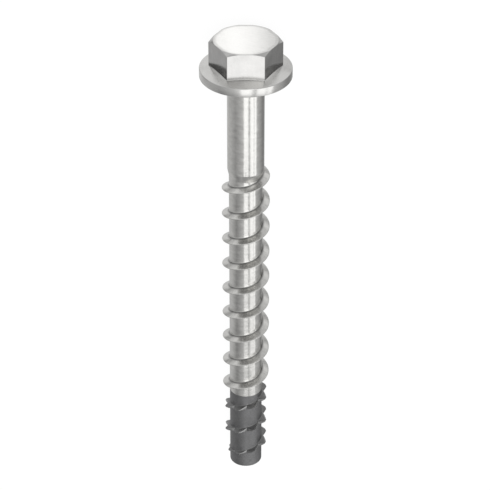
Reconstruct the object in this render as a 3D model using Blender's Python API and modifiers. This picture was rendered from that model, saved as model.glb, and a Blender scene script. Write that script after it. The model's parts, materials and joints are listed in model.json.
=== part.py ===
"""Concrete screw with a hexagon washer head, lying as it comes to rest.

A cold-formed stainless body (head, washer flange, plain shank and rolled thread) carries
a short hardened point, butt-welded to its end. The ridge of the thread runs on over the
weld, and on the point it is notched into cutting teeth that saw the ridge's way into the
wall of a drilled hole.

Each piece is modelled on the screw's own axis: the flange's seat is at z = 0, the head is
above it and the point below. Angles run round the axis, anticlockwise seen from the head,
from the middle of the front flat, which faces -Y. At the end both are laid on the floor.
"""

import math

import bmesh
import bpy
import numpy as np
from mathutils import Matrix, Vector

# Head, in metres, with heights above the flange's seat
ACROSS_FLATS = 0.00993
HEAD_HEIGHT = 0.00607
CHAMFER_MARGIN = 0.00005
CHAMFER_ANGLE = math.radians(30)
HEXAGON_EDGE_ROUND = 0.00012

# Washer flange, forged in one with the head
FLANGE_DIAMETER = 0.0144
FLANGE_EDGE_HEIGHT = 0.00149
FLANGE_SLOPE = math.radians(11)
RIM_ROUND = 0.00030
SEAT_EDGE_ROUND = 0.00012
SEAT_FILLET = 0.00035

# Shank
LENGTH_UNDER_HEAD = 0.0750
SHANK_DIAMETER = 0.00586
SHANK_LENGTH = 0.0166
SHANK_CONE_LENGTH = 0.00113

# Right-hand thread
CORE_DIAMETER = 0.00538
CREST_DIAMETER = 0.00768
CREST_FLAT = 0.00020
FLANK_ANGLE = math.radians(22)
PITCH = 0.0048
THREAD_START_ANGLE = math.radians(180)
RUN_OUT_ANGLE = math.radians(92)

# Hardened point
POINT_LENGTH = 0.0150
POINT_CREST_DIAMETER = 0.00736
POINT_CREST_FLAT = 0.00010
POINT_FLANK_ANGLE = math.radians(18)
POINT_EDGE = 0.00015
NOTCHES_PER_TURN = 8
NOTCH_DEPTH = 0.00086
NOTCH_ANGLE = math.radians(3)
CUTTING_FACE_SHARE = 1 / 3
TOOTH_LAND_SHARE = 1 / 6
FADE_TURNS = 0.9
FADE_POWER = 0.7
FADE_END_CLEARANCE = 0.00050

# The two flat ends that the weld joins stand this far apart, so that the solids stay separate
WELD_SEAM = 0.00002

# Facets round a turned shape and round one turn of the ridge. The ridge's roots go this far
# under the surface that carries it, and a blank runs this far past the plane it is cut at
FACETS = 48
ARC_STEPS = 3
RINGS_PER_NOTCH = 6
ROOT_DEPTH = 0.0005
CUT_ALLOWANCE = 0.0010

CORE_RADIUS = CORE_DIAMETER / 2
CREST_RADIUS = CREST_DIAMETER / 2
SHANK_RADIUS = SHANK_DIAMETER / 2
FLANGE_RADIUS = FLANGE_DIAMETER / 2
POINT_CREST_RADIUS = POINT_CREST_DIAMETER / 2
WELD_Z = POINT_LENGTH - LENGTH_UNDER_HEAD
FACET_PHASE = NOTCH_ANGLE - math.radians(90)

STAINLESS = ("stainless_steel", (0.60, 0.59, 0.57), 0.32)
HARDENED = ("hardened_steel", (0.115, 0.115, 0.118), 0.45)


def clear_scene():
    for obj in list(bpy.data.objects):
        bpy.data.objects.remove(obj, do_unlink=True)
    for collection in list(bpy.data.collections):
        bpy.data.collections.remove(collection)


def new_collection(name):
    collection = bpy.data.collections.new(name)
    bpy.context.scene.collection.children.link(collection)
    return collection


def steel(name, colour, roughness):
    material = bpy.data.materials.new(name)
    material.use_nodes = True
    shader = material.node_tree.nodes["Principled BSDF"]
    shader.inputs["Base Color"].default_value = (*colour, 1)
    shader.inputs["Metallic"].default_value = 1
    shader.inputs["Roughness"].default_value = roughness
    return material


def link_mesh(name, bm, collection):
    mesh = bpy.data.meshes.new(name)
    bm.to_mesh(mesh)
    bm.free()
    obj = bpy.data.objects.new(name, mesh)
    collection.objects.link(obj)
    return obj


def as_guide(obj):
    """A shape that is only added to, or cut from, another."""
    obj.hide_render = True
    obj.display_type = "WIRE"
    return obj


def arc(centre, radius, start, end):
    """Points of a round edge, from one angle in degrees to another, in the (radius, z) plane."""
    angles = [math.radians(start + (end - start) * i / ARC_STEPS) for i in range(ARC_STEPS + 1)]
    return [(centre[0] + radius * math.cos(a), centre[1] + radius * math.sin(a)) for a in angles]


def turned(name, profile, collection):
    """A profile of (radius, z) points, top to bottom, swept round the axis."""
    bm = bmesh.new()
    along = (math.cos(FACET_PHASE), math.sin(FACET_PHASE))
    points = [bm.verts.new((r * along[0], r * along[1], z)) for r, z in profile]
    for upper, lower in zip(points, points[1:]):
        bm.edges.new((upper, lower))
    obj = link_mesh(name, bm, collection)
    screw = obj.modifiers.new("turn", "SCREW")
    screw.axis = "Z"
    screw.angle = math.tau
    screw.steps = screw.render_steps = FACETS
    screw.use_merge_vertices = True
    screw.merge_threshold = 1e-6
    screw.use_smooth_shade = True
    return obj


def boolean(obj, operation, other):
    modifier = obj.modifiers.new(f"{operation.lower()} {other.name}", "BOOLEAN")
    modifier.operation = operation
    modifier.solver = "EXACT"
    modifier.object = other


def flange_top(radius):
    """Height of the flange's sloping upper face."""
    return FLANGE_EDGE_HEIGHT + (FLANGE_RADIUS - radius) * math.tan(FLANGE_SLOPE)


def blank_profile():
    """The body before the hexagon and the thread are added: flange, shank, cone and core."""
    inner = ACROSS_FLATS / 4
    rim_turn = 90 - math.degrees(FLANGE_SLOPE)
    rim_drop = RIM_ROUND * math.tan(math.radians(rim_turn) / 2)
    rim_centre = (FLANGE_RADIUS - RIM_ROUND, FLANGE_EDGE_HEIGHT - rim_drop)
    seat_centre = (FLANGE_RADIUS - SEAT_EDGE_ROUND, SEAT_EDGE_ROUND)
    fillet_centre = (SHANK_RADIUS + SEAT_FILLET, -SEAT_FILLET)
    return [
        (0, flange_top(inner)),
        (inner, flange_top(inner)),
        *arc(rim_centre, RIM_ROUND, rim_turn, 0),
        *arc(seat_centre, SEAT_EDGE_ROUND, 0, -90),
        *arc(fillet_centre, SEAT_FILLET, 90, 180),
        (SHANK_RADIUS, -SHANK_LENGTH),
        (CORE_RADIUS, -SHANK_LENGTH - SHANK_CONE_LENGTH),
        (CORE_RADIUS, WELD_Z - CUT_ALLOWANCE),
        (0, WELD_Z - CUT_ALLOWANCE),
    ]


def point_profile():
    """The hardened point before the thread is added, with its end's edge broken."""
    end = -LENGTH_UNDER_HEAD
    return [
        (0, WELD_Z + CUT_ALLOWANCE),
        (CORE_RADIUS, WELD_Z + CUT_ALLOWANCE),
        (CORE_RADIUS, end + POINT_EDGE),
        (CORE_RADIUS - POINT_EDGE, end),
        (0, end),
    ]


def hexagon(collection):
    """The head's prism, its foot inside the flange. A flat cone chamfers its corners, and the
    circle that the cone leaves on top just clears the flats."""
    foot = FLANGE_EDGE_HEIGHT / 2
    corner = ACROSS_FLATS / math.sqrt(3)
    middle = Matrix.Translation((0, 0, (HEAD_HEIGHT + foot) / 2))
    bm = bmesh.new()
    bmesh.ops.create_cone(
        bm,
        cap_ends=True,
        segments=6,
        radius1=corner,
        radius2=corner,
        depth=HEAD_HEIGHT - foot,
        matrix=middle @ Matrix.Rotation(math.radians(30), 4, "Z"),
    )
    upright = [e for e in bm.edges if abs(e.verts[0].co.z - e.verts[1].co.z) > foot]
    bmesh.ops.bevel(
        bm, geom=upright, offset=HEXAGON_EDGE_ROUND, segments=2, profile=0.5, affect="EDGES"
    )
    prism = as_guide(link_mesh("hexagon", bm, collection))

    circle = ACROSS_FLATS / 2 + CHAMFER_MARGIN
    reach = 2 * circle
    edge = HEAD_HEIGHT - (reach - circle) * math.tan(CHAMFER_ANGLE)
    outline = [(0, HEAD_HEIGHT), (circle, HEAD_HEIGHT), (reach, edge), (reach, 0), (0, 0)]
    boolean(prism, "INTERSECT", as_guide(turned("chamfer_cone", outline, collection)))
    return prism


def ridge_section(crest, top, root, flat, flank_angle):
    """Corners of the ridge's section as (radius, offset along the axis): flanks that would
    meet the crest, cut off at the radius top, with the root inside the piece."""
    def half_width(radius):
        return flat / 2 + (crest - radius) * math.tan(flank_angle)

    return [
        (root, half_width(root)),
        (top, half_width(top)),
        (top, -half_width(top)),
        (root, -half_width(root)),
    ]


def ridge(name, turns, section_at, collection):
    """A loft of sections along the helix. turns counts down the screw from the thread's start."""
    bm = bmesh.new()
    rings = []
    for turn in turns:
        angle = THREAD_START_ANGLE - math.radians(90) - math.tau * turn
        z = -SHANK_LENGTH - PITCH * turn
        rings.append([
            bm.verts.new((r * math.cos(angle), r * math.sin(angle), z + offset))
            for r, offset in section_at(turn)
        ])
    for one, other in zip(rings, rings[1:]):
        for i in range(len(one)):
            j = (i + 1) % len(one)
            bm.faces.new((one[i], one[j], other[j], other[i]))
    bm.faces.new(rings[0])
    bm.faces.new(list(reversed(rings[-1])))
    bmesh.ops.recalc_face_normals(bm, faces=bm.faces)
    return as_guide(link_mesh(name, bm, collection))


def facet_turns(first, last):
    """Turns, from first or just above it to last or just below it, where the helix crosses the
    edges of the core's facets."""
    offset = (THREAD_START_ANGLE - NOTCH_ANGLE) / math.tau * FACETS
    lowest = math.floor(first * FACETS - offset)
    highest = math.ceil(last * FACETS - offset)
    return [(offset + i) / FACETS for i in range(lowest, highest + 1)]


def base_width(crest, flat, flank_angle):
    return flat + 2 * (crest - CORE_RADIUS + ROOT_DEPTH) * math.tan(flank_angle)


BODY_BASE_WIDTH = base_width(CREST_RADIUS, CREST_FLAT, FLANK_ANGLE)
POINT_BASE_WIDTH = base_width(POINT_CREST_RADIUS, POINT_CREST_FLAT, POINT_FLANK_ANGLE)


def body_ridge(collection):
    """The body's thread. Its crest leaves the shank at the thread's start, rises evenly over the
    run-out, and ends past the weld."""
    run_out = RUN_OUT_ANGLE / math.tau

    def section(turn):
        crest = SHANK_RADIUS + (CREST_RADIUS - SHANK_RADIUS) * min(1, turn / run_out)
        return ridge_section(crest, crest, CORE_RADIUS - ROOT_DEPTH, CREST_FLAT, FLANK_ANGLE)

    last = (-WELD_Z - SHANK_LENGTH + BODY_BASE_WIDTH) / PITCH
    return ridge("body_ridge", facet_turns(-run_out / 4, last), section, collection)


def notched_away(turn):
    """What the notches take off the crest: from the foot of a notch a steep rise to a tooth's
    tip, a short land, then a slope down to the next foot."""
    per_tooth = math.tau / NOTCHES_PER_TURN
    angle = THREAD_START_ANGLE - math.tau * turn - NOTCH_ANGLE
    share = (angle / per_tooth) % 1
    land_end = CUTTING_FACE_SHARE + TOOTH_LAND_SHARE
    if share < CUTTING_FACE_SHARE:
        return NOTCH_DEPTH * (1 - share / CUTTING_FACE_SHARE)
    return NOTCH_DEPTH * max(0, share - land_end) / (1 - land_end)


def tooth_turns(first, last):
    """Turns of the point's sections: one at each corner of the teeth, and equal steps between
    them."""
    corners = (0, CUTTING_FACE_SHARE, CUTTING_FACE_SHARE + TOOTH_LAND_SHARE, 1)
    shares = []
    for corner, following in zip(corners, corners[1:]):
        steps = max(1, round(RINGS_PER_NOTCH * (following - corner)))
        shares += [corner + (following - corner) * i / steps for i in range(steps)]
    turns = []
    highest_notch = math.ceil((THREAD_START_ANGLE - NOTCH_ANGLE) / math.tau * NOTCHES_PER_TURN)
    lowest_notch = math.floor(highest_notch - (last + 1) * NOTCHES_PER_TURN)
    for notch in range(lowest_notch, highest_notch + 1):
        for share in shares:
            angle = NOTCH_ANGLE + (notch + share) * math.tau / NOTCHES_PER_TURN
            turns.append((THREAD_START_ANGLE - angle) / math.tau)
    return sorted(turn for turn in turns if first <= turn <= last)


def point_ridge(collection):
    """The point's notched thread. Its crest sinks into the core before the end."""
    first = (-WELD_Z - SHANK_LENGTH - POINT_BASE_WIDTH) / PITCH
    last = (LENGTH_UNDER_HEAD - FADE_END_CLEARANCE - SHANK_LENGTH) / PITCH

    def section(turn):
        share = min(1, max(0, last - turn) / FADE_TURNS) ** FADE_POWER
        hidden = CORE_RADIUS - ROOT_DEPTH / 2
        crest = hidden + (POINT_CREST_RADIUS - hidden) * share
        top = crest - notched_away(turn) * share
        root = CORE_RADIUS - 2 * ROOT_DEPTH
        return ridge_section(crest, top, root, POINT_CREST_FLAT, POINT_FLANK_ANGLE)

    return ridge("point_ridge", tooth_turns(first, last), section, collection)


def cutter(name, low, high, collection):
    """A round block that takes all of a piece between two heights."""
    bm = bmesh.new()
    bmesh.ops.create_cone(
        bm,
        cap_ends=True,
        segments=12,
        radius1=CREST_DIAMETER,
        radius2=CREST_DIAMETER,
        depth=high - low,
        matrix=Matrix.Translation((0, 0, (low + high) / 2)),
    )
    return as_guide(link_mesh(name, bm, collection))


def baked(obj, finish):
    """The evaluated solid as plain mesh, with its real edges sharp and the rest shaded smooth."""
    graph = bpy.context.evaluated_depsgraph_get()
    mesh = bpy.data.meshes.new_from_object(obj.evaluated_get(graph))
    obj.modifiers.clear()
    obj.data = mesh
    mesh.name = obj.name
    mesh.materials.clear()
    mesh.materials.append(steel(*finish))
    mesh.shade_smooth()
    mesh.set_sharp_from_angle(angle=math.radians(24))
    return obj


def stainless_body(parts, cutters):
    body = turned("stainless_body", blank_profile(), parts)
    spare = BODY_BASE_WIDTH + PITCH + CUT_ALLOWANCE
    boolean(body, "UNION", hexagon(cutters))
    boolean(body, "UNION", body_ridge(cutters))
    boolean(body, "DIFFERENCE", cutter("weld_cut_below", WELD_Z - spare, WELD_Z, cutters))
    return body


def hardened_point(parts, cutters):
    point = turned("hardened_tip", point_profile(), parts)
    face = WELD_Z - WELD_SEAM
    spare = POINT_BASE_WIDTH + PITCH + CUT_ALLOWANCE
    boolean(point, "UNION", point_ridge(cutters))
    boolean(point, "DIFFERENCE", cutter("weld_cut_above", face, face + spare, cutters))
    return point


def corners_of(obj):
    return np.array([obj.matrix_world @ v.co for v in obj.data.vertices], np.float64)


def centre_of_mass(pieces):
    """Centre of the pieces' volume, from the signed tetrahedra under their triangles."""
    total, moment = 0.0, np.zeros(3)
    for obj in pieces:
        obj.data.calc_loop_triangles()
        faces = np.array([t.vertices[:] for t in obj.data.loop_triangles])
        a, b, c = (corners_of(obj)[faces[:, i]] for i in range(3))
        volume = np.einsum("ij,ij->i", a, np.cross(b, c)) / 6
        total += volume.sum()
        moment += (volume[:, None] * (a + b + c) / 4).sum(axis=0)
    return Vector(moment / total)


def resting_normal(pieces):
    """Outward normal of the face that the screw rests on with its front flat up: of the hull's
    faces that the centre of mass stands over, the one most opposite to the front flat."""
    bm = bmesh.new()
    for obj in pieces:
        for corner in corners_of(obj):
            bm.verts.new(corner)
    bmesh.ops.convex_hull(bm, input=bm.verts, use_existing_faces=False)
    bmesh.ops.recalc_face_normals(bm, faces=bm.faces)
    centre = centre_of_mass(pieces)
    best = None
    for face in bm.faces:
        foot = centre - face.normal * (centre - face.verts[0].co).dot(face.normal)
        ring = [v.co for v in face.verts]
        inside = all(
            (one - foot).cross(other - foot).dot(face.normal) >= 0
            for one, other in zip(ring, ring[1:] + ring[:1])
        )
        if inside and (best is None or face.normal.y > best.y):
            best = face.normal.copy()
    bm.free()
    return best


def lay_down(pieces):
    """Parents the pieces to an empty that lays them on the floor, head towards +Y, with the
    bottom centre of their box at the origin."""
    down = resting_normal(pieces)
    up = -down
    ahead = (Vector((0, 0, 1)) - up * up.z).normalized()
    side = ahead.cross(up)
    turn = Matrix((side, ahead, up)).to_4x4()
    points = np.concatenate([corners_of(obj) for obj in pieces]) @ np.array(turn.to_3x3()).T
    low, high = points.min(axis=0), points.max(axis=0)
    rest = bpy.data.objects.new("lying_screw", None)
    bpy.context.scene.collection.objects.link(rest)
    shift = Matrix.Translation((-(low[0] + high[0]) / 2, -(low[1] + high[1]) / 2, -low[2]))
    rest.matrix_world = shift @ turn
    for obj in pieces:
        obj.parent = rest


def main():
    clear_scene()
    parts = new_collection("concrete_screw")
    cutters = new_collection("cutters")
    body = stainless_body(parts, cutters)
    point = hardened_point(parts, cutters)
    bpy.context.view_layer.update()
    lay_down([baked(body, STAINLESS), baked(point, HARDENED)])


main()
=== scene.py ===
"""Concrete screw lying on a pale floor, seen from over its head.

The two pieces are built on the screw's own axis in millimetres: the flange's seat is at z = 0,
the head is above it and the tip below. Angles run round the axis, anticlockwise seen from the
head, from the middle of the front flat, which faces -Y. Each finished mesh is then scaled to metres
and moved to where the screw lies, which is read from the record's mounts.
"""

import json
import math

import bmesh
import bpy
from mathutils import Matrix, Vector

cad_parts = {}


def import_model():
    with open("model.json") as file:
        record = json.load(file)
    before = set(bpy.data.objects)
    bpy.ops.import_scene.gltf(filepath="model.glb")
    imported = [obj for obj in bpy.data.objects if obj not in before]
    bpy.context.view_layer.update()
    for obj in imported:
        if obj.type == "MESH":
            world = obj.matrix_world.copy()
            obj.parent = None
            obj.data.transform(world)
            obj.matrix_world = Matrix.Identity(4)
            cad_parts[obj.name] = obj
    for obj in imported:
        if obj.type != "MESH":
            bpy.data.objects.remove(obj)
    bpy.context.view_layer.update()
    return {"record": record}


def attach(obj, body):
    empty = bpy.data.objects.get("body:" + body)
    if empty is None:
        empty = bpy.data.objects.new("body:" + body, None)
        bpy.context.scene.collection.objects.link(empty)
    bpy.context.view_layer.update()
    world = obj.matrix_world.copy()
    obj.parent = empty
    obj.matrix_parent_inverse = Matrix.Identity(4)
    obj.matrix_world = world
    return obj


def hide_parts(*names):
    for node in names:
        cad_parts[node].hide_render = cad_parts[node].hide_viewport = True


MM = 0.001

# Head
HEXAGON_HALF_STEP = math.radians(30)
ACROSS_FLATS = 9.93
HEAD_HEIGHT = 6.07
CHAMFER_RADIUS = 5.015
CHAMFER_SLOPE = math.tan(math.radians(30))
CORNER_ROUND = 0.12
TOP_EDGE_ROUND = 0.045
FOOT_FILLET = 0.06

# Washer flange
FLANGE_RADIUS = 7.2
FLANGE_EDGE_HEIGHT = 1.39
FLANGE_SLOPE = math.radians(11)
RIM_ROUND = 0.13
SEAT_EDGE_ROUND = 0.06
SEAT_FILLET = 0.35

# Shank and thread
LENGTH = 75.0
SHANK_RADIUS = 2.93
SHANK_LENGTH = 16.6
CONE_LENGTH = 1.13
CONE_EDGE = 0.07
CORE_RADIUS = 2.69
CREST_RADIUS = 3.84
CREST_FLAT = 0.11
FLANK_ANGLE = math.radians(22)
ROOT_FILLET = 0.16
CREST_ROUND = 0.05
PITCH = 4.8
THREAD_START = math.radians(180)
RUN_OUT_TURNS = 92 / 360

# Tip
WELD_Z = -59.94
WELD_SEAM = 0.02
TIP_CREST_RADIUS = 3.68
TIP_CREST_FLAT = 0.10
TIP_FLANK_ANGLE = math.radians(18)
TIP_RISE = 0.085
TEETH = 8
NOTCH_DEPTH = 0.86
NOTCH_ANGLE = math.radians(3)
CUTTING_FACE_SHARE = 1 / 3
TOOTH_LAND_SHARE = 1 / 6
FADE_TURNS = 0.8
FADE_POWER = 0.7
LAST_TURN = (LENGTH - 0.5 - SHANK_LENGTH) / PITCH
HIDDEN_DEPTH = 0.25  # how far under the core the ridge is where it has faded
END_EDGE = 0.10

# Meshes: columns round the axis, rows of half a thread section, and the spare turn and the least
# height of the ridge that keep its rows apart
COLUMNS = 144
LAND_STEPS, ROOT_STEPS, FLANK_STEPS, CREST_STEPS = 6, 4, 4, 3
SPARE_TURN = 0.06
LEAST_HEIGHT = 0.12
FLUSH = 0.02
NOTCH_BLUR = math.radians(0.6)
SHARP_ANGLE = math.radians(32)


# ---- shapes ----


def place(radius, phi, z):
    return (radius * math.sin(phi), -radius * math.cos(phi), z)


def hexagon_radius(phi):
    """Distance from the axis to the head's side, with its upright edges rounded."""
    half = HEXAGON_HALF_STEP
    inner = ACROSS_FLATS / 2
    from_corner = phi % (2 * half) - half
    centre = (inner - CORNER_ROUND) / math.cos(half)
    flat_reach = math.atan2((inner - CORNER_ROUND) * math.tan(half), inner)
    if abs(from_corner) < half - flat_reach:
        across = centre * math.sin(from_corner)
        return centre * math.cos(from_corner) + math.sqrt(CORNER_ROUND**2 - across**2)
    return inner / math.cos(half - abs(from_corner))


def flange_top(radius):
    return FLANGE_EDGE_HEIGHT + (FLANGE_RADIUS - radius) * math.tan(FLANGE_SLOPE)


def arc(centre, radius, start, end, steps):
    angles = [math.radians(start + (end - start) * i / steps) for i in range(steps + 1)]
    return [(centre[0] + radius * math.cos(a), centre[1] + radius * math.sin(a)) for a in angles]


def head_profile(phi):
    """(radius, z, region) of the head's rows at one angle, from near the top's centre to the shank."""
    side = hexagon_radius(phi)
    edge = TOP_EDGE_ROUND
    top_edge = min(CHAMFER_RADIUS, side - 2.2 * edge)

    def under_chamfer(radius):
        return HEAD_HEIGHT - max(0, radius - CHAMFER_RADIUS) * CHAMFER_SLOPE

    # The top, its rounded edge, the chamfer over the corners and the rounded edge under it
    rows = [(top_edge * share, HEAD_HEIGHT, "top") for share in (0.2, 0.45, 0.7, 0.88)]
    rows.append((top_edge - edge, HEAD_HEIGHT, "top"))
    over_edge = HEAD_HEIGHT - 0.1 * edge
    rows.append((top_edge, over_edge, "top"))
    rows.append((top_edge + 0.9 * edge, min(over_edge, under_chamfer(top_edge + edge)), "side"))
    crease = under_chamfer(side - edge)
    rows.append((side - edge, min(crease, over_edge), "side"))
    rows.append((side - 0.28 * edge, crease - 0.45 * edge, "side"))
    upper = crease - 1.3 * edge
    rows.append((side, upper, "side"))
    # The upright side, its foot and the flange
    foot = flange_top(side) + FOOT_FILLET
    rows += [(side, upper + (foot - upper) * share, "side") for share in (0.25, 0.5, 0.75, 1)]
    rim_turn = 90 - math.degrees(FLANGE_SLOPE)
    for step in (1, 2, 3, 4):
        turn = math.radians(rim_turn * step / 4)
        rows.append((
            side + FOOT_FILLET * (1 - math.cos(turn)),
            foot - FOOT_FILLET * math.sin(turn),
            "flange",
        ))
    drop = RIM_ROUND * math.tan(math.radians(rim_turn) / 2)
    inner, outer = rows[-1][0], FLANGE_RADIUS - drop
    height = rows[-1][1]
    for share in (0.2, 0.45, 0.7, 0.9):
        rows.append((
            inner + (outer - inner) * share,
            height + (flange_top(outer) - height) * share,
            "flange",
        ))
    rim = arc((FLANGE_RADIUS - RIM_ROUND, FLANGE_EDGE_HEIGHT - drop), RIM_ROUND, rim_turn, 0, 6)
    rows += [(r, z, "flange") for r, z in rim]
    rows.append((FLANGE_RADIUS, (rim[-1][1] + SEAT_EDGE_ROUND) / 2, "flange"))
    seat = arc((FLANGE_RADIUS - SEAT_EDGE_ROUND, SEAT_EDGE_ROUND), SEAT_EDGE_ROUND, 0, -90, 4)
    rows += [(r, z, "flange") for r, z in seat]
    inner = SHANK_RADIUS + SEAT_FILLET
    outer = FLANGE_RADIUS - SEAT_EDGE_ROUND
    rows += [(outer + (inner - outer) * share, 0, "flange") for share in (0.25, 0.5, 0.75)]
    fillet = arc((inner, -SEAT_FILLET), SEAT_FILLET, 90, 180, 6)
    rows += [(r, z, "shank") for r, z in fillet]
    return rows


def shank_radius(z):
    """Radius of what the thread stands on: shank, a short cone, then the core, with the cone's
    two edges rounded."""
    slope = (SHANK_RADIUS - CORE_RADIUS) / CONE_LENGTH
    for corner, above, below in (
        (-SHANK_LENGTH, 0, slope),
        (-SHANK_LENGTH - CONE_LENGTH, slope, 0),
    ):
        if abs(z - corner) < CONE_EDGE:
            from_top = (corner + CONE_EDGE - z) / (2 * CONE_EDGE)
            start = SHANK_RADIUS if above == 0 else CORE_RADIUS + slope * CONE_EDGE
            turned = above * from_top + (below - above) * from_top**2 / 2
            return start - turned * 2 * CONE_EDGE
    if z > -SHANK_LENGTH:
        return SHANK_RADIUS
    return max(CORE_RADIUS, SHANK_RADIUS - slope * (-SHANK_LENGTH - z))


def ridge_section(crest, top, flat, flank_angle):
    """(radius, offset along the axis) of one pitch, from half a pitch above the ridge's middle to
    half a pitch under it. Flanks that would meet the crest are cut off at the radius top."""
    flatten = min(1, max(0, top - CORE_RADIUS) / LEAST_HEIGHT)
    lift = max(0, CORE_RADIUS + LEAST_HEIGHT - top)
    crest, top = crest + lift, top + lift
    height = top - CORE_RADIUS
    tan, sin, cos = math.tan(flank_angle), math.sin(flank_angle), math.cos(flank_angle)
    turn = math.radians(90) - flank_angle
    small = min(1, height / 0.35)
    root_round, top_round = ROOT_FILLET * small, CREST_ROUND * small
    root_reach = root_round * math.tan(turn / 2)
    top_reach = top_round * math.tan(turn / 2)
    foot = flat / 2 + (crest - CORE_RADIUS) * tan
    half_top = flat / 2 + (crest - top) * tan

    land = foot + root_reach - PITCH / 2
    half = [(CORE_RADIUS, PITCH / 2 + land * i / LAND_STEPS) for i in range(LAND_STEPS)]
    for i in range(ROOT_STEPS + 1):
        a = turn * i / ROOT_STEPS
        half.append((
            CORE_RADIUS + root_round * (1 - math.cos(a)),
            foot + root_reach - root_round * math.sin(a),
        ))
    low = (CORE_RADIUS + root_reach * cos, foot - root_reach * sin)
    high = (top - top_reach * cos, half_top + top_reach * sin)
    for i in range(1, FLANK_STEPS):
        share = i / FLANK_STEPS
        half.append((low[0] + (high[0] - low[0]) * share, low[1] + (high[1] - low[1]) * share))
    for i in range(CREST_STEPS + 1):
        a = turn * (1 - i / CREST_STEPS)
        half.append((
            top - top_round * (1 - math.cos(a)),
            half_top - top_reach + top_round * math.sin(a),
        ))
    rows = half + [(top, 0)] + [(r, -offset) for r, offset in reversed(half)]
    return [(CORE_RADIUS + (r - CORE_RADIUS) * flatten, offset) for r, offset in rows]


def body_section(turn):
    crest = SHANK_RADIUS + (CREST_RADIUS - SHANK_RADIUS) * min(1, turn / RUN_OUT_TURNS)
    crest = max(crest, CORE_RADIUS + LEAST_HEIGHT)
    return ridge_section(crest, crest, CREST_FLAT, FLANK_ANGLE)


def notch_share(angle):
    """How far down a notch the crest is at an angle: 1 at its foot, 0 on the tooth's land."""
    share = ((angle - NOTCH_ANGLE) / (math.tau / TEETH)) % 1
    if share < CUTTING_FACE_SHARE:
        return 1 - share / CUTTING_FACE_SHARE
    land_end = CUTTING_FACE_SHARE + TOOTH_LAND_SHARE
    return max(0, share - land_end) / (1 - land_end)


def tip_section(turn):
    share = min(1, max(0, LAST_TURN - turn) / FADE_TURNS) ** FADE_POWER
    hidden = CORE_RADIUS - HIDDEN_DEPTH
    crest = hidden + (TIP_CREST_RADIUS - hidden) * share
    angle = THREAD_START - math.tau * (turn + TIP_RISE / PITCH)
    depth = sum(notch_share(angle + NOTCH_BLUR * k) for k in (-1, -0.5, 0, 0.5, 1)) / 5
    top = crest - NOTCH_DEPTH * depth * share
    return ridge_section(crest, top, TIP_CREST_FLAT, TIP_FLANK_ANGLE)


def body_columns():
    """Angles round the head and body: even steps, and close ones over each upright edge."""
    angles = {round(360 * i / COLUMNS, 4) for i in range(COLUMNS)}
    for corner in range(30, 390, 60):
        angles |= {round(corner + d, 4) for d in (-0.62, -0.42, -0.2, 0.2, 0.42, 0.62)}
    return [math.radians(a) for a in sorted(a % 360 for a in angles)]


def tip_columns():
    """Angles round the tip: even steps from the foot of a notch, and close ones at each foot and
    both ends of each tooth's land."""
    foot = math.degrees(NOTCH_ANGLE)
    angles = {round((foot + 360 * i / COLUMNS) % 360, 4) for i in range(COLUMNS)}
    for tooth in range(TEETH):
        for at in (0, CUTTING_FACE_SHARE, CUTTING_FACE_SHARE + TOOTH_LAND_SHARE):
            centre = foot + (tooth + at) * 360 / TEETH
            angles |= {round((centre + d) % 360, 4) for d in (-0.6, 0, 0.6)}
    return [math.radians(a) for a in sorted(angles)]


class Surface:
    """Vertices and faces of one piece, with the region of each face."""

    def __init__(self, columns, start):
        below = [a for a in columns if a <= start + 1e-9]
        above = [a - math.tau for a in columns if a > start + 1e-9]
        self.angles = list(reversed(below)) + list(reversed(above))
        self.count = len(columns)
        self.points, self.faces, self.regions = [], [], []

    def angle(self, ring):
        return self.angles[ring % self.count] - math.tau * (ring // self.count)

    def add(self, radius, phi, z):
        self.points.append(place(radius, phi, z))
        return len(self.points) - 1

    def face(self, corners, region):
        self.faces.append(corners)
        self.regions.append(region)

    def band(self, upper, lower, region):
        """Quads between two closed rows of vertices."""
        n = self.count
        for i in range(n):
            j = (i + 1) % n
            self.face((upper[j], lower[j], lower[i], upper[i]), region)

    def thread(self, section_at, radius_at, first, last, region_at):
        """The helical sheet from one turn to another. Returns the open row at its top, whose last
        entry is one turn under its first, and the vertices of the step between them."""
        rings, flush, own = [], [], []
        c = 0
        offset = self.angles[0]
        while True:
            turn = first + (offset - self.angle(c)) / math.tau
            if turn > last:
                break
            middle = -SHANK_LENGTH - PITCH * turn
            section = [(r, middle + o) for r, o in section_at(turn)]
            rings.append([(max(r, radius_at(z)), z) for r, z in section])
            flush.append([r < radius_at(z) + FLUSH for r, z in section])
            c += 1
        rows = len(rings[0])
        for c, ring in enumerate(rings):
            kept = ring if c + self.count >= len(rings) else ring[:-1]
            own.append([self.add(r, self.angle(c), z) for r, z in kept])
        for c in range(len(rings) - self.count):
            own[c].append(own[c + self.count][0])
        for c in range(len(rings) - 1):
            for j in range(rows - 1):
                level = all(flush[c][j:j + 2]) and all(flush[c + 1][j:j + 2])
                self.face(
                    (own[c + 1][j], own[c + 1][j + 1], own[c][j + 1], own[c][j]),
                    region_at(0 if level else j, rows, (self.angle(c) + self.angle(c + 1)) / 2),
                )
        return [own[c][0] for c in range(self.count + 1)], own[0]

    def close_top(self, ring, row, step, region):
        """Faces from a closed row down to the thread's open top, which steps down a pitch."""
        n = self.count
        for i in range(n - 1):
            self.face((ring[i + 1], row[i + 1], row[i], ring[i]), region)
        self.face((ring[0], *step, row[n - 1], ring[n - 1]), region)


def on_land(row, rows):
    return row < LAND_STEPS or row >= rows - 1 - LAND_STEPS


def body_region(row, rows, angle):
    return "shank" if on_land(row, rows) else "flank"


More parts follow.
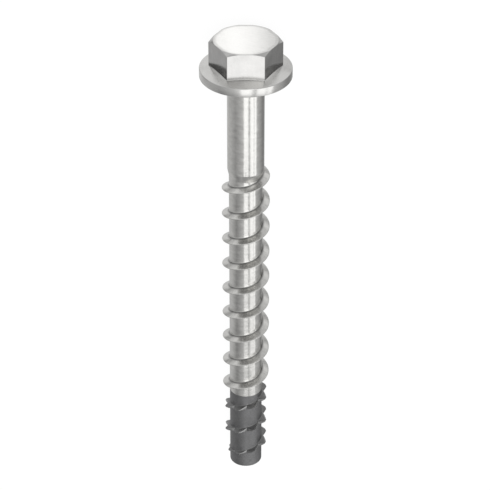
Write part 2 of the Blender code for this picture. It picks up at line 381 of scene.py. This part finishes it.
def tip_region(row, rows, angle):
    """The notches' long slopes are ground bright, and the top of the flank over them with them."""
    if on_land(row, rows):
        return "core"
    on_crest = -CREST_STEPS - 2 < row + 0.5 - (rows - 1) / 2 < CREST_STEPS - 1
    share = ((angle - NOTCH_ANGLE) / (math.tau / TEETH)) % 1
    return "cut" if on_crest and share > CUTTING_FACE_SHARE + TOOTH_LAND_SHARE else "ridge"


def level_cut(bm, z, keep_above=False, keep_below=False):
    """Adds a level line of edges, so that a level crease shows sharp on the helical sheet, or cuts
    the mesh off at a height. The cut edges stay open."""
    bmesh.ops.bisect_plane(
        bm,
        geom=list(bm.verts) + list(bm.edges) + list(bm.faces),
        dist=1e-5,
        plane_co=(0, 0, z),
        plane_no=(0, 0, 1),
        clear_inner=keep_above,
        clear_outer=keep_below,
    )


def open_loop(bm, z):
    """The open edges at one height, as an ordered ring of vertices, anticlockwise from above."""
    verts = {v for e in bm.edges if e.is_boundary for v in e.verts if abs(v.co.z - z) < 1e-3}
    return sorted(verts, key=lambda v: math.atan2(v.co.y, v.co.x))


def cap(bm, z, region):
    """Closes the open edges at one height with a flat face."""
    edges = [e for e in bm.edges if e.is_boundary and all(abs(v.co.z - z) < 1e-3 for v in e.verts)]
    for face in bmesh.ops.contextual_create(bm, geom=edges)["faces"]:
        face.material_index = region


def to_bmesh(surface, names):
    mesh = bpy.data.meshes.new("sheet")
    mesh.from_pydata(surface.points, [], surface.faces)
    bm = bmesh.new()
    bm.from_mesh(mesh)
    bpy.data.meshes.remove(mesh)
    bm.faces.ensure_lookup_table()
    for face, region in zip(bm.faces, surface.regions):
        face.material_index = names.index(region)
    return bm


def finish_piece(name, bm, materials, lying):
    bm.normal_update()
    bm.transform(lying @ Matrix.Scale(MM, 4))
    mesh = bpy.data.meshes.new(name)
    bm.to_mesh(mesh)
    bm.free()
    mesh.shade_smooth()
    mesh.set_sharp_from_angle(angle=SHARP_ANGLE)
    for material in materials:
        mesh.materials.append(material)
    obj = bpy.data.objects.new(name, mesh)
    bpy.context.scene.collection.objects.link(obj)
    return obj


def build_body(materials, lying):
    names = ["top", "side", "flange", "shank", "flank"]
    sheet = Surface(body_columns(), math.tau)
    profiles = [head_profile(sheet.angle(c)) for c in range(sheet.count)]
    centre = sheet.add(0, 0, HEAD_HEIGHT)
    upper = None
    for k in range(len(profiles[0])):
        row = [sheet.add(p[k][0], sheet.angle(c), p[k][1]) for c, p in enumerate(profiles)]
        region = profiles[0][k][2]
        if upper is None:
            for i in range(sheet.count):
                j = (i + 1) % sheet.count
                sheet.face((centre, row[j], row[i]), region)
        else:
            sheet.band(upper, row, region)
        upper = row
    for z in (-1.5, -4.0, -7.0, -10.0, -11.4):
        row = [sheet.add(SHANK_RADIUS, sheet.angle(c), z) for c in range(sheet.count)]
        sheet.band(upper, row, "shank")
        upper = row
    last = (-WELD_Z - SHANK_LENGTH + PITCH / 2) / PITCH + SPARE_TURN
    first = (THREAD_START - sheet.angles[0]) / math.tau
    top_row, step = sheet.thread(body_section, shank_radius, first, last, body_region)
    sheet.close_top(upper, top_row, step, "shank")

    bm = to_bmesh(sheet, names)
    for corner in (-SHANK_LENGTH, -SHANK_LENGTH - CONE_LENGTH):
        for shift in (CONE_EDGE, 0, -CONE_EDGE):
            level_cut(bm, corner + shift)
    # What lies on the shank there is set on the cone's own radius
    for v in bm.verts:
        if -SHANK_LENGTH - CONE_LENGTH - 0.2 < v.co.z < -SHANK_LENGTH + 0.2:
            radius = math.hypot(v.co.x, v.co.y)
            wanted = shank_radius(v.co.z)
            if radius < wanted + 0.012:
                v.co.x *= wanted / radius
                v.co.y *= wanted / radius
    level_cut(bm, WELD_Z, keep_above=True)
    cap(bm, WELD_Z, names.index("shank"))
    return finish_piece("screw_body", bm, [materials[n] for n in names], lying)


def build_tip(materials, lying):
    names = ["core", "ridge", "cut", "end"]
    sheet = Surface(tip_columns(), math.pi)
    weld = WELD_Z - WELD_SEAM
    whole_turns = math.floor((-weld - SHANK_LENGTH - PITCH / 2) / PITCH - 1 - SPARE_TURN)
    first = whole_turns + (THREAD_START - sheet.angles[0]) / math.tau - TIP_RISE / PITCH
    last = (LENGTH - SHANK_LENGTH + PITCH / 2) / PITCH + SPARE_TURN

    sheet.thread(tip_section, lambda z: CORE_RADIUS, first, last, tip_region)
    bm = to_bmesh(sheet, names)
    level_cut(bm, weld, keep_below=True)
    cap(bm, weld, names.index("core"))
    lower = -LENGTH + END_EDGE
    level_cut(bm, lower, keep_above=True)
    ring = open_loop(bm, lower)
    steps = 5
    for step in range(1, steps + 1):
        turn = math.radians(90 * step / steps)
        radius = CORE_RADIUS - END_EDGE * (1 - math.cos(turn))
        z = lower - END_EDGE * math.sin(turn)
        row = []
        for v in ring:
            scale = radius / math.hypot(v.co.x, v.co.y)
            row.append(bm.verts.new((v.co.x * scale, v.co.y * scale, z)))
        for i in range(len(ring)):
            j = (i + 1) % len(ring)
            face = bm.faces.new((ring[i], row[i], row[j], ring[j]))
            face.material_index = names.index("core")
        ring = row
    bm.faces.new(list(reversed(ring))).material_index = names.index("end")
    return finish_piece("screw_tip", bm, [materials[n] for n in names], lying)


# ---- materials ----


class Nodes:
    """Short calls for building a node tree."""

    def __init__(self, tree):
        self.tree = tree

    def add(self, kind, **settings):
        node = self.tree.nodes.new(kind)
        for name, value in settings.items():
            setattr(node, name, value)
        return node

    def link(self, value, socket):
        if isinstance(value, bpy.types.NodeSocket):
            self.tree.links.new(value, socket)
        else:
            socket.default_value = value

    def math(self, operation, *values):
        node = self.add("ShaderNodeMath", operation=operation)
        for value, socket in zip(values, node.inputs):
            self.link(value, socket)
        return node.outputs[0]

    def vector(self, operation, *values):
        node = self.add("ShaderNodeVectorMath", operation=operation)
        for value, socket in zip(values, node.inputs):
            self.link(value, socket)
        return node.outputs["Value" if operation in ("DOT_PRODUCT", "LENGTH") else "Vector"]

    def noise(self, vector, detail):
        node = self.add("ShaderNodeTexNoise")
        self.link(vector, node.inputs["Vector"])
        node.inputs["Scale"].default_value = 1
        node.inputs["Detail"].default_value = detail
        node.inputs["Roughness"].default_value = 0.5
        return node.outputs["Fac"]

    def remap(self, value, low, high, to_low, to_high, smooth=False):
        node = self.add("ShaderNodeMapRange")
        node.interpolation_type = "SMOOTHSTEP" if smooth else "LINEAR"
        for v, socket in zip((value, low, high, to_low, to_high), node.inputs):
            self.link(v, socket)
        return node.outputs[0]

    def mix(self, factor, one, other):
        node = self.add("ShaderNodeMix", data_type="RGBA")
        self.link(factor, node.inputs[0])
        self.link(one, node.inputs[6])
        self.link(other, node.inputs[7])
        return node.outputs[2]

    def bump(self, height, distance, normal):
        node = self.add("ShaderNodeBump")
        node.inputs["Strength"].default_value = 1
        node.inputs["Distance"].default_value = distance
        self.link(height, node.inputs["Height"])
        if normal is not None:
            self.link(normal, node.inputs["Normal"])
        return node.outputs["Normal"]


# Finishes: colour, roughness, anisotropy and layers. A layer is (grain, fineness across it, fineness
# along it, detail, height in mm, change of shade, change of roughness). The grain says which way the
# marks run. The layers "domed", "foot" and "root" have no marks: the first bends the normal like a
# low dome, and the others are painted shade, which darkens the colour towards the crease at the foot
# of the hexagon and towards the thread's root.
FINISHES = {
    "top": ((0.74, 0.735, 0.72), 0.12, 0, (
        ("domed", 1, 1, 0, 0.0035, 0, 0),
        ("brushed", 6, 0.15, 3, 0.0010, 0.05, 0.04),
        ("plain", 0.35, 0.35, 3, 0.012, 0.06, 0.04),
        ("plain", 6, 6, 2, 0.0006, 0.04, 0.03),
    )),
    "side": ((0.58, 0.575, 0.565), 0.13, 0, (
        # painted shade: the sides darken towards the crease at their foot
        ("foot", 1, 1, 0, 0, 0.15, 0.05),
        ("plain", 0.4, 0.4, 3, 0.008, 0.09, 0.04),
        ("along", 9, 0.5, 2, 0.0004, 0.03, 0.02),
        ("plain", 4, 4, 2, 0.0005, 0.02, 0.02),
    )),
    "flange": ((0.70, 0.695, 0.68), 0.22, 0.3, (
        ("round", 7, 1.2, 2, 0.0012, 0.03, 0.03),
        ("plain", 0.6, 0.6, 3, 0.012, 0.06, 0.05),
        ("plain", 5, 5, 2, 0.0008, 0.02, 0.02),
    )),
    "shank": ((0.715, 0.71, 0.69), 0.19, 0.4, (
        ("round", 1.6, 0.7, 3, 0.010, 0.09, 0.05),
        ("round", 7, 1.5, 2, 0.0012, 0.02, 0.03),
        ("plain", 0.45, 0.45, 3, 0.030, 0.06, 0.04),
    )),
    "flank": ((0.705, 0.70, 0.68), 0.22, 0, (
        # painted shade: the flanks darken towards the thread's root
        ("root", 1, 1, 0, 0, 0.66, 0.05),
        ("along", 5, 0.8, 2, 0.0012, 0.09, 0.04),
        ("plain", 2.5, 2.5, 3, 0.0012, 0.07, 0.04),
    )),
    "cut": ((0.36, 0.36, 0.36), 0.24, 0, (
        ("along", 5, 0.8, 2, 0.0012, 0.05, 0.04),
        ("plain", 3, 3, 3, 0.0012, 0.04, 0.04),
    )),
    "core": ((0.24, 0.24, 0.243), 0.47, 0, (
        ("plain", 6, 6, 4, 0.0040, 0.22, 0.06),
        ("plain", 0.6, 0.6, 3, 0.010, 0.10, 0.06),
    )),
    "ridge": ((0.24, 0.24, 0.24), 0.42, 0, (
        ("plain", 6, 6, 4, 0.0040, 0.16, 0.06),
        ("along", 8, 1.2, 2, 0.0020, 0.08, 0.05),
    )),
    "end": ((0.19, 0.19, 0.193), 0.45, 0, (
        ("round", 5, 0.8, 3, 0.0050, 0.14, 0.06),
        ("plain", 6, 6, 3, 0.0030, 0.12, 0.05),
    )),
}
BRUSHED_ANGLE = math.radians(25)
# Heights between which a painted shade darkens the sides of the hexagon towards the crease at their
# foot, and distances from the axis between which a painted shade darkens the thread's flanks towards
# their root
FOOT_SHADE = (1.7, 2.7)
ROOT_SHADE = (2.70, 3.1)


def grain_vector(nodes, own, grain, across, along):
    """Coordinates for noise that is drawn out along the marks."""
    if grain == "plain":
        return nodes.vector("MULTIPLY", own, (across, across, across))
    if grain == "brushed":
        turned = nodes.add("ShaderNodeVectorRotate", rotation_type="Z_AXIS")
        nodes.link(own, turned.inputs["Vector"])
        turned.inputs["Angle"].default_value = BRUSHED_ANGLE
        return nodes.vector("MULTIPLY", turned.outputs[0], (along, across, along))
    outward = nodes.vector("MULTIPLY", own, (1, 1, 0))
    radius = nodes.vector("LENGTH", outward)
    height = nodes.vector("DOT_PRODUCT", own, (0, 0, 1))
    profile = nodes.math("ADD", height, radius)
    around, lengthwise = (along, across) if grain == "round" else (across, along)
    direction = nodes.vector("NORMALIZE", outward)
    parts = nodes.add("ShaderNodeCombineXYZ")
    nodes.link(nodes.math("MULTIPLY", profile, lengthwise), parts.inputs["Z"])
    reach = 3 * around
    return nodes.vector("MULTIPLY_ADD", direction, (reach, reach, 0), parts.outputs[0])


def metal(name, finish, lying):
    colour, roughness, anisotropy, layers = finish
    material = bpy.data.materials.new(name)
    material.use_nodes = True
    nodes = Nodes(material.node_tree)
    shader = material.node_tree.nodes["Principled BSDF"]
    shader.inputs["Metallic"].default_value = 1
    shader.inputs["Anisotropic"].default_value = anisotropy

    mapping = nodes.add("ShaderNodeMapping", vector_type="TEXTURE")
    nodes.link(nodes.add("ShaderNodeTexCoord").outputs["Object"], mapping.inputs["Vector"])
    mapping.inputs["Location"].default_value = lying.translation
    mapping.inputs["Rotation"].default_value = lying.to_euler()
    mapping.inputs["Scale"].default_value = (MM, MM, MM)
    own = mapping.outputs[0]
    if anisotropy:
        axis = nodes.add("ShaderNodeCombineXYZ")
        for socket, value in zip(axis.inputs, lying.to_3x3() @ Vector((0, 0, 1))):
            socket.default_value = value
        nodes.link(axis.outputs[0], shader.inputs["Tangent"])

    shade, rough, normal = 1.0, roughness, None
    for grain, across, along, detail, height, shading, roughening in layers:
        if grain == "domed":
            outward = nodes.vector("LENGTH", nodes.vector("MULTIPLY", own, (1, 1, 0)))
            normal = nodes.bump(nodes.math("MULTIPLY", outward, outward), -height * MM, normal)
            continue
        # Painted shade: the colour darkens towards the crease at the hexagon's foot or towards the
        # thread's root
        if grain in ("foot", "root"):
            if grain == "foot":
                distance = nodes.vector("DOT_PRODUCT", own, (0, 0, 1))
                limits = FOOT_SHADE
            else:
                distance = nodes.vector("LENGTH", nodes.vector("MULTIPLY", own, (1, 1, 0)))
                limits = ROOT_SHADE
            swing = nodes.remap(distance, *limits, -1, 0, smooth=True)
            shade = nodes.math("MULTIPLY", shade, nodes.math("MULTIPLY_ADD", swing, shading, 1))
            continue
        noise = nodes.noise(grain_vector(nodes, own, grain, across, along), detail)
        swing = nodes.remap(noise, 0.25, 0.75, -1, 1)
        shade = nodes.math("MULTIPLY", shade, nodes.math("MULTIPLY_ADD", swing, shading, 1))
        rough = nodes.math("MULTIPLY_ADD", swing, roughening, rough)
        normal = nodes.bump(noise, height * MM, normal)
    nodes.link(nodes.vector("MULTIPLY", colour, shade), shader.inputs["Base Color"])
    nodes.link(rough, shader.inputs["Roughness"])
    nodes.link(normal, shader.inputs["Normal"])
    return material


# ---- studio ----

# The light that the metal mirrors, as rings round the screw. The angles are degrees round it,
# from straight over its front, and the levels are from black up.
LOW_RING = (
    (-180, 0.48), (-155, 0.50), (-138, 0.55), (-120, 0.56), (-104, 0.51), (-80, 0.36),
    (-68, 0.26), (-56, 0.30), (-45, 0.36), (-32, 0.44), (-18, 0.53), (20, 0.52), (50, 0.72),
    (78, 0.52), (95, 0.43), (112, 0.32), (124, 0.25), (140, 0.25), (156, 0.34), (180, 0.60),
)
TIPWARD_RING = (
    (-180, 0.64), (-150, 0.66), (-136, 0.60), (-120, 0.48), (-104, 0.49), (-88, 0.46),
    (-72, 0.43), (-60, 0.47), (-45, 0.54), (-30, 0.64), (-18, 0.74), (-9, 0.95), (13, 0.95),
    (22, 0.66), (50, 0.80), (78, 0.54), (95, 0.42), (112, 0.33), (124, 0.26), (140, 0.26),
    (156, 0.36), (180, 0.64),
)
HEADWARD_RING = (
    (-180, 0.80), (-166, 0.80), (-156, 0.74), (-146, 0.64), (-130, 0.62), (-105, 0.58),
    (-75, 0.48), (-45, 0.52), (-12, 0.84), (-3, 0.88), (3, 1.20), (9, 1.50), (15, 1.40),
    (28, 1.05), (45, 0.62), (62, 0.50), (85, 0.56), (110, 0.64), (146, 0.66), (156, 0.64),
    (166, 0.62), (180, 0.80),
)
# Elevations between which one ring goes over into the next
LOW_TO_TIPWARD = (-30.7, -29.0)
TIPWARD_TO_HEADWARD = (-10, 12)
# Cards in front of the rings: (angles from, to, edge; elevations from, to, edge; level), with the
# elevation counted from the plane across the screw towards the head
CARDS = (
    (-12, 16, 4, -34.9, -6, 5, 1.50),
    (27, 45, 4, -35.2, -6, 4, 1.47),
    (44, 50, 4, -37.8, -6, 6, 1.52),
    (54, 69, 4, -37.5, -6, 8, 1.44),
    (-30, 90, 10, -75, -42, 4, 0.36),
    (80, 128, 20, -60, -38.5, 3, 0.60),
    (-124, -100, 8, -2, 24, 8, 0.10),
    (102, 126, 8, -2, 20, 8, 0.14),
    (-155, -141, 6, 15, 30, 6, 0.36),
    (136, 153, 6, 20, 35, 6, 0.45),
    (-142, -126, 4, 41, 53, 4, 0.92),
    (128, 150, 4, 41, 53, 4, 0.92),
    (-104, 96, 12, 64, 83, 5, 0.45),
    (-136, -112, 6, 57, 84, 6, 0.80),
    (-400, 400, 1, 85, 100, 4, 0.80),
)
# The same behind the screw, with the angles counted from straight behind it
BACK_CARDS = (
    (-25, 25, 6, 33, 52, 5, 0.86),
    (-1.5, 3.6, 5, 21, 36, 5, 1.40),
)
BRIGHTEST = 1.6


def ramp(nodes, position, stops):
    """Levels round the screw, from -180 to 180 degrees."""
    node = nodes.add("ShaderNodeValToRGB")
    elements = node.color_ramp.elements
    for i, (angle, level) in enumerate(stops):
        at = (angle + 180) / 360
        element = elements[i] if i < 2 else elements.new(at)
        element.position = at
        element.color = (*(level / BRIGHTEST for _ in range(3)), 1)
    nodes.link(position, node.inputs[0])
    return node.outputs[0]


def within(nodes, *ranges):
    """1 inside all the ranges, each given as (value, from, to, edge), and 0 outside."""
    mask = None
    for value, start, end, blur in ranges:
        for at, low, high in ((start, 0, 1), (end, 1, 0)):
            side = nodes.remap(value, at - blur / 2, at + blur / 2, low, high, smooth=True)
            mask = side if mask is None else nodes.math("MULTIPLY", mask, side)
    return mask


def card(nodes, behind, angle, elevation, spec):
    low, high, edge, lower, upper, soft, level = spec
    mask = within(nodes, (angle, low, high, edge), (elevation, lower, upper, soft))
    shown = level / BRIGHTEST
    return nodes.mix(mask, behind, (shown, shown, shown, 1))


def studio_world(lying):
    world = bpy.data.worlds.new("studio")
    world.use_nodes = True
    nodes = Nodes(world.node_tree)
    turn = lying.to_3x3()
    direction = nodes.add("ShaderNodeTexCoord").outputs["Generated"]
    across, front, ahead = (
        nodes.vector("DOT_PRODUCT", direction, turn @ Vector(axis))
        for axis in ((1, 0, 0), (0, -1, 0), (0, 0, 1))
    )
    angle = nodes.math("DEGREES", nodes.math("ARCTAN2", across, front))
    from_behind = nodes.math("DEGREES", nodes.math(
        "ARCTAN2", nodes.math("MULTIPLY", across, -1), nodes.math("MULTIPLY", front, -1)
    ))
    elevation = nodes.math("DEGREES", nodes.math("ARCSINE", ahead))
    position = nodes.remap(angle, -180, 180, 0, 1)
    colour = ramp(nodes, position, LOW_RING)
    for limits, ring in (
        (LOW_TO_TIPWARD, TIPWARD_RING),
        (TIPWARD_TO_HEADWARD, HEADWARD_RING),
    ):
        share = nodes.remap(elevation, *limits, 0, 1, smooth=True)
        colour = nodes.mix(share, colour, ramp(nodes, position, ring))
    for spec in CARDS:
        colour = card(nodes, colour, angle, elevation, spec)
    for spec in BACK_CARDS:
        colour = card(nodes, colour, from_behind, elevation, spec)
    seen = nodes.add("ShaderNodeLightPath").outputs["Is Camera Ray"]
    colour = nodes.mix(seen, colour, (1, 1, 1, 1))
    background = world.node_tree.nodes["Background"]
    nodes.link(colour, background.inputs["Color"])
    background.inputs["Strength"].default_value = BRIGHTEST
    bpy.context.scene.world = world


def softbox(name, location, size, energy):
    data = bpy.data.lights.new(name, "AREA")
    data.shape = "SQUARE"
    data.size = size
    data.energy = energy
    obj = bpy.data.objects.new(name, data)
    obj.location = location
    obj.visible_glossy = False
    bpy.context.scene.collection.objects.link(obj)


# The photograph's viewpoint, as fitted to it: degrees over the plane across the screw, the point
# looked at on the screw's axis and the distance from it in mm, and the rest in the picture's pixels
CAMERA_TILT = math.radians(33.145)
CAMERA_TARGET = HEAD_HEIGHT - 48.6254 * 0.76825
CAMERA_DISTANCE = 429.805 * 0.76825
CAMERA_FOCAL = 2038.786
CAMERA_SHIFT = (-0.8064, 0.5)
PICTURE_SIZE = 490


def add_camera(lying):
    view_back = Vector((0, -math.cos(CAMERA_TILT), math.sin(CAMERA_TILT)))
    image_up = Vector((0, math.sin(CAMERA_TILT), math.cos(CAMERA_TILT)))
    own = Matrix((Vector((1, 0, 0)), image_up, view_back)).transposed().to_4x4()
    own.translation = Vector((0, 0, CAMERA_TARGET * MM)) + view_back * CAMERA_DISTANCE * MM
    data = bpy.data.cameras.new("camera")
    data.sensor_width = 36
    data.lens = CAMERA_FOCAL * data.sensor_width / PICTURE_SIZE
    data.shift_x, data.shift_y = (pixels / PICTURE_SIZE for pixels in CAMERA_SHIFT)
    data.clip_start, data.clip_end = 0.01, 20
    camera = bpy.data.objects.new("camera", data)
    bpy.context.scene.collection.objects.link(camera)
    camera.matrix_world = lying @ own
    bpy.context.scene.camera = camera


def add_floor():
    """A plain pale floor, which mostly glows evenly and takes a faint shadow."""
    mesh = bpy.data.meshes.new("floor")
    reach = 1.5
    mesh.from_pydata(
        [(-reach, -reach, 0), (reach, -reach, 0), (reach, reach, 0), (-reach, reach, 0)],
        [],
        [(0, 1, 2, 3)],
    )
    material = bpy.data.materials.new("floor")
    material.use_nodes = True
    nodes = Nodes(material.node_tree)
    shader = material.node_tree.nodes["Principled BSDF"]
    shader.inputs["Base Color"].default_value = (0.9, 0.9, 0.9, 1)
    shader.inputs["Roughness"].default_value = 0.9
    shader.inputs["Specular IOR Level"].default_value = 0.0
    lit = nodes.add("ShaderNodeEmission")
    mix = nodes.add("ShaderNodeMixShader")
    mix.inputs[0].default_value = 0.06
    nodes.link(lit.outputs[0], mix.inputs[1])
    nodes.link(shader.outputs[0], mix.inputs[2])
    nodes.link(mix.outputs[0], material.node_tree.nodes["Material Output"].inputs["Surface"])
    mesh.materials.append(material)
    floor = bpy.data.objects.new("floor", mesh)
    floor.visible_glossy = False
    bpy.context.scene.collection.objects.link(floor)


# ---- scene ----


def lying_matrix(record):
    """Where the screw's own frame lies, from the record's mounts."""
    mounts = {m["name"]: m for m in record["mounts"]}
    ahead = Vector(mounts["head_top"]["axis"]).normalized()
    front = Vector(mounts["wrench_flat"]["axis"])
    back = -(front - ahead * front.dot(ahead)).normalized()
    side = back.cross(ahead)
    turn = Matrix((side, back, ahead)).transposed().to_4x4()
    turn.translation = Vector(mounts["head_top"]["pos_m"]) - ahead * HEAD_HEIGHT * MM
    return turn


def main():
    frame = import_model()
    lying = lying_matrix(frame["record"])

    finishes = {
        name: metal(f"steel_{name}", finish, lying) for name, finish in FINISHES.items()
    }
    pieces = (
        (build_body(finishes, lying), "stainless_body", "stainless_steel"),
        (build_tip(finishes, lying), "hardened_tip", "hardened_steel"),
    )
    for piece, node, slot in pieces:
        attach(piece, "root")
        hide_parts(node)

    add_floor()
    add_camera(lying)
    studio_world(lying)
    softbox("overhead", (0, 0, 1.2), 1.6, 20)
    bpy.context.scene.view_settings.view_transform = "Standard"


main()
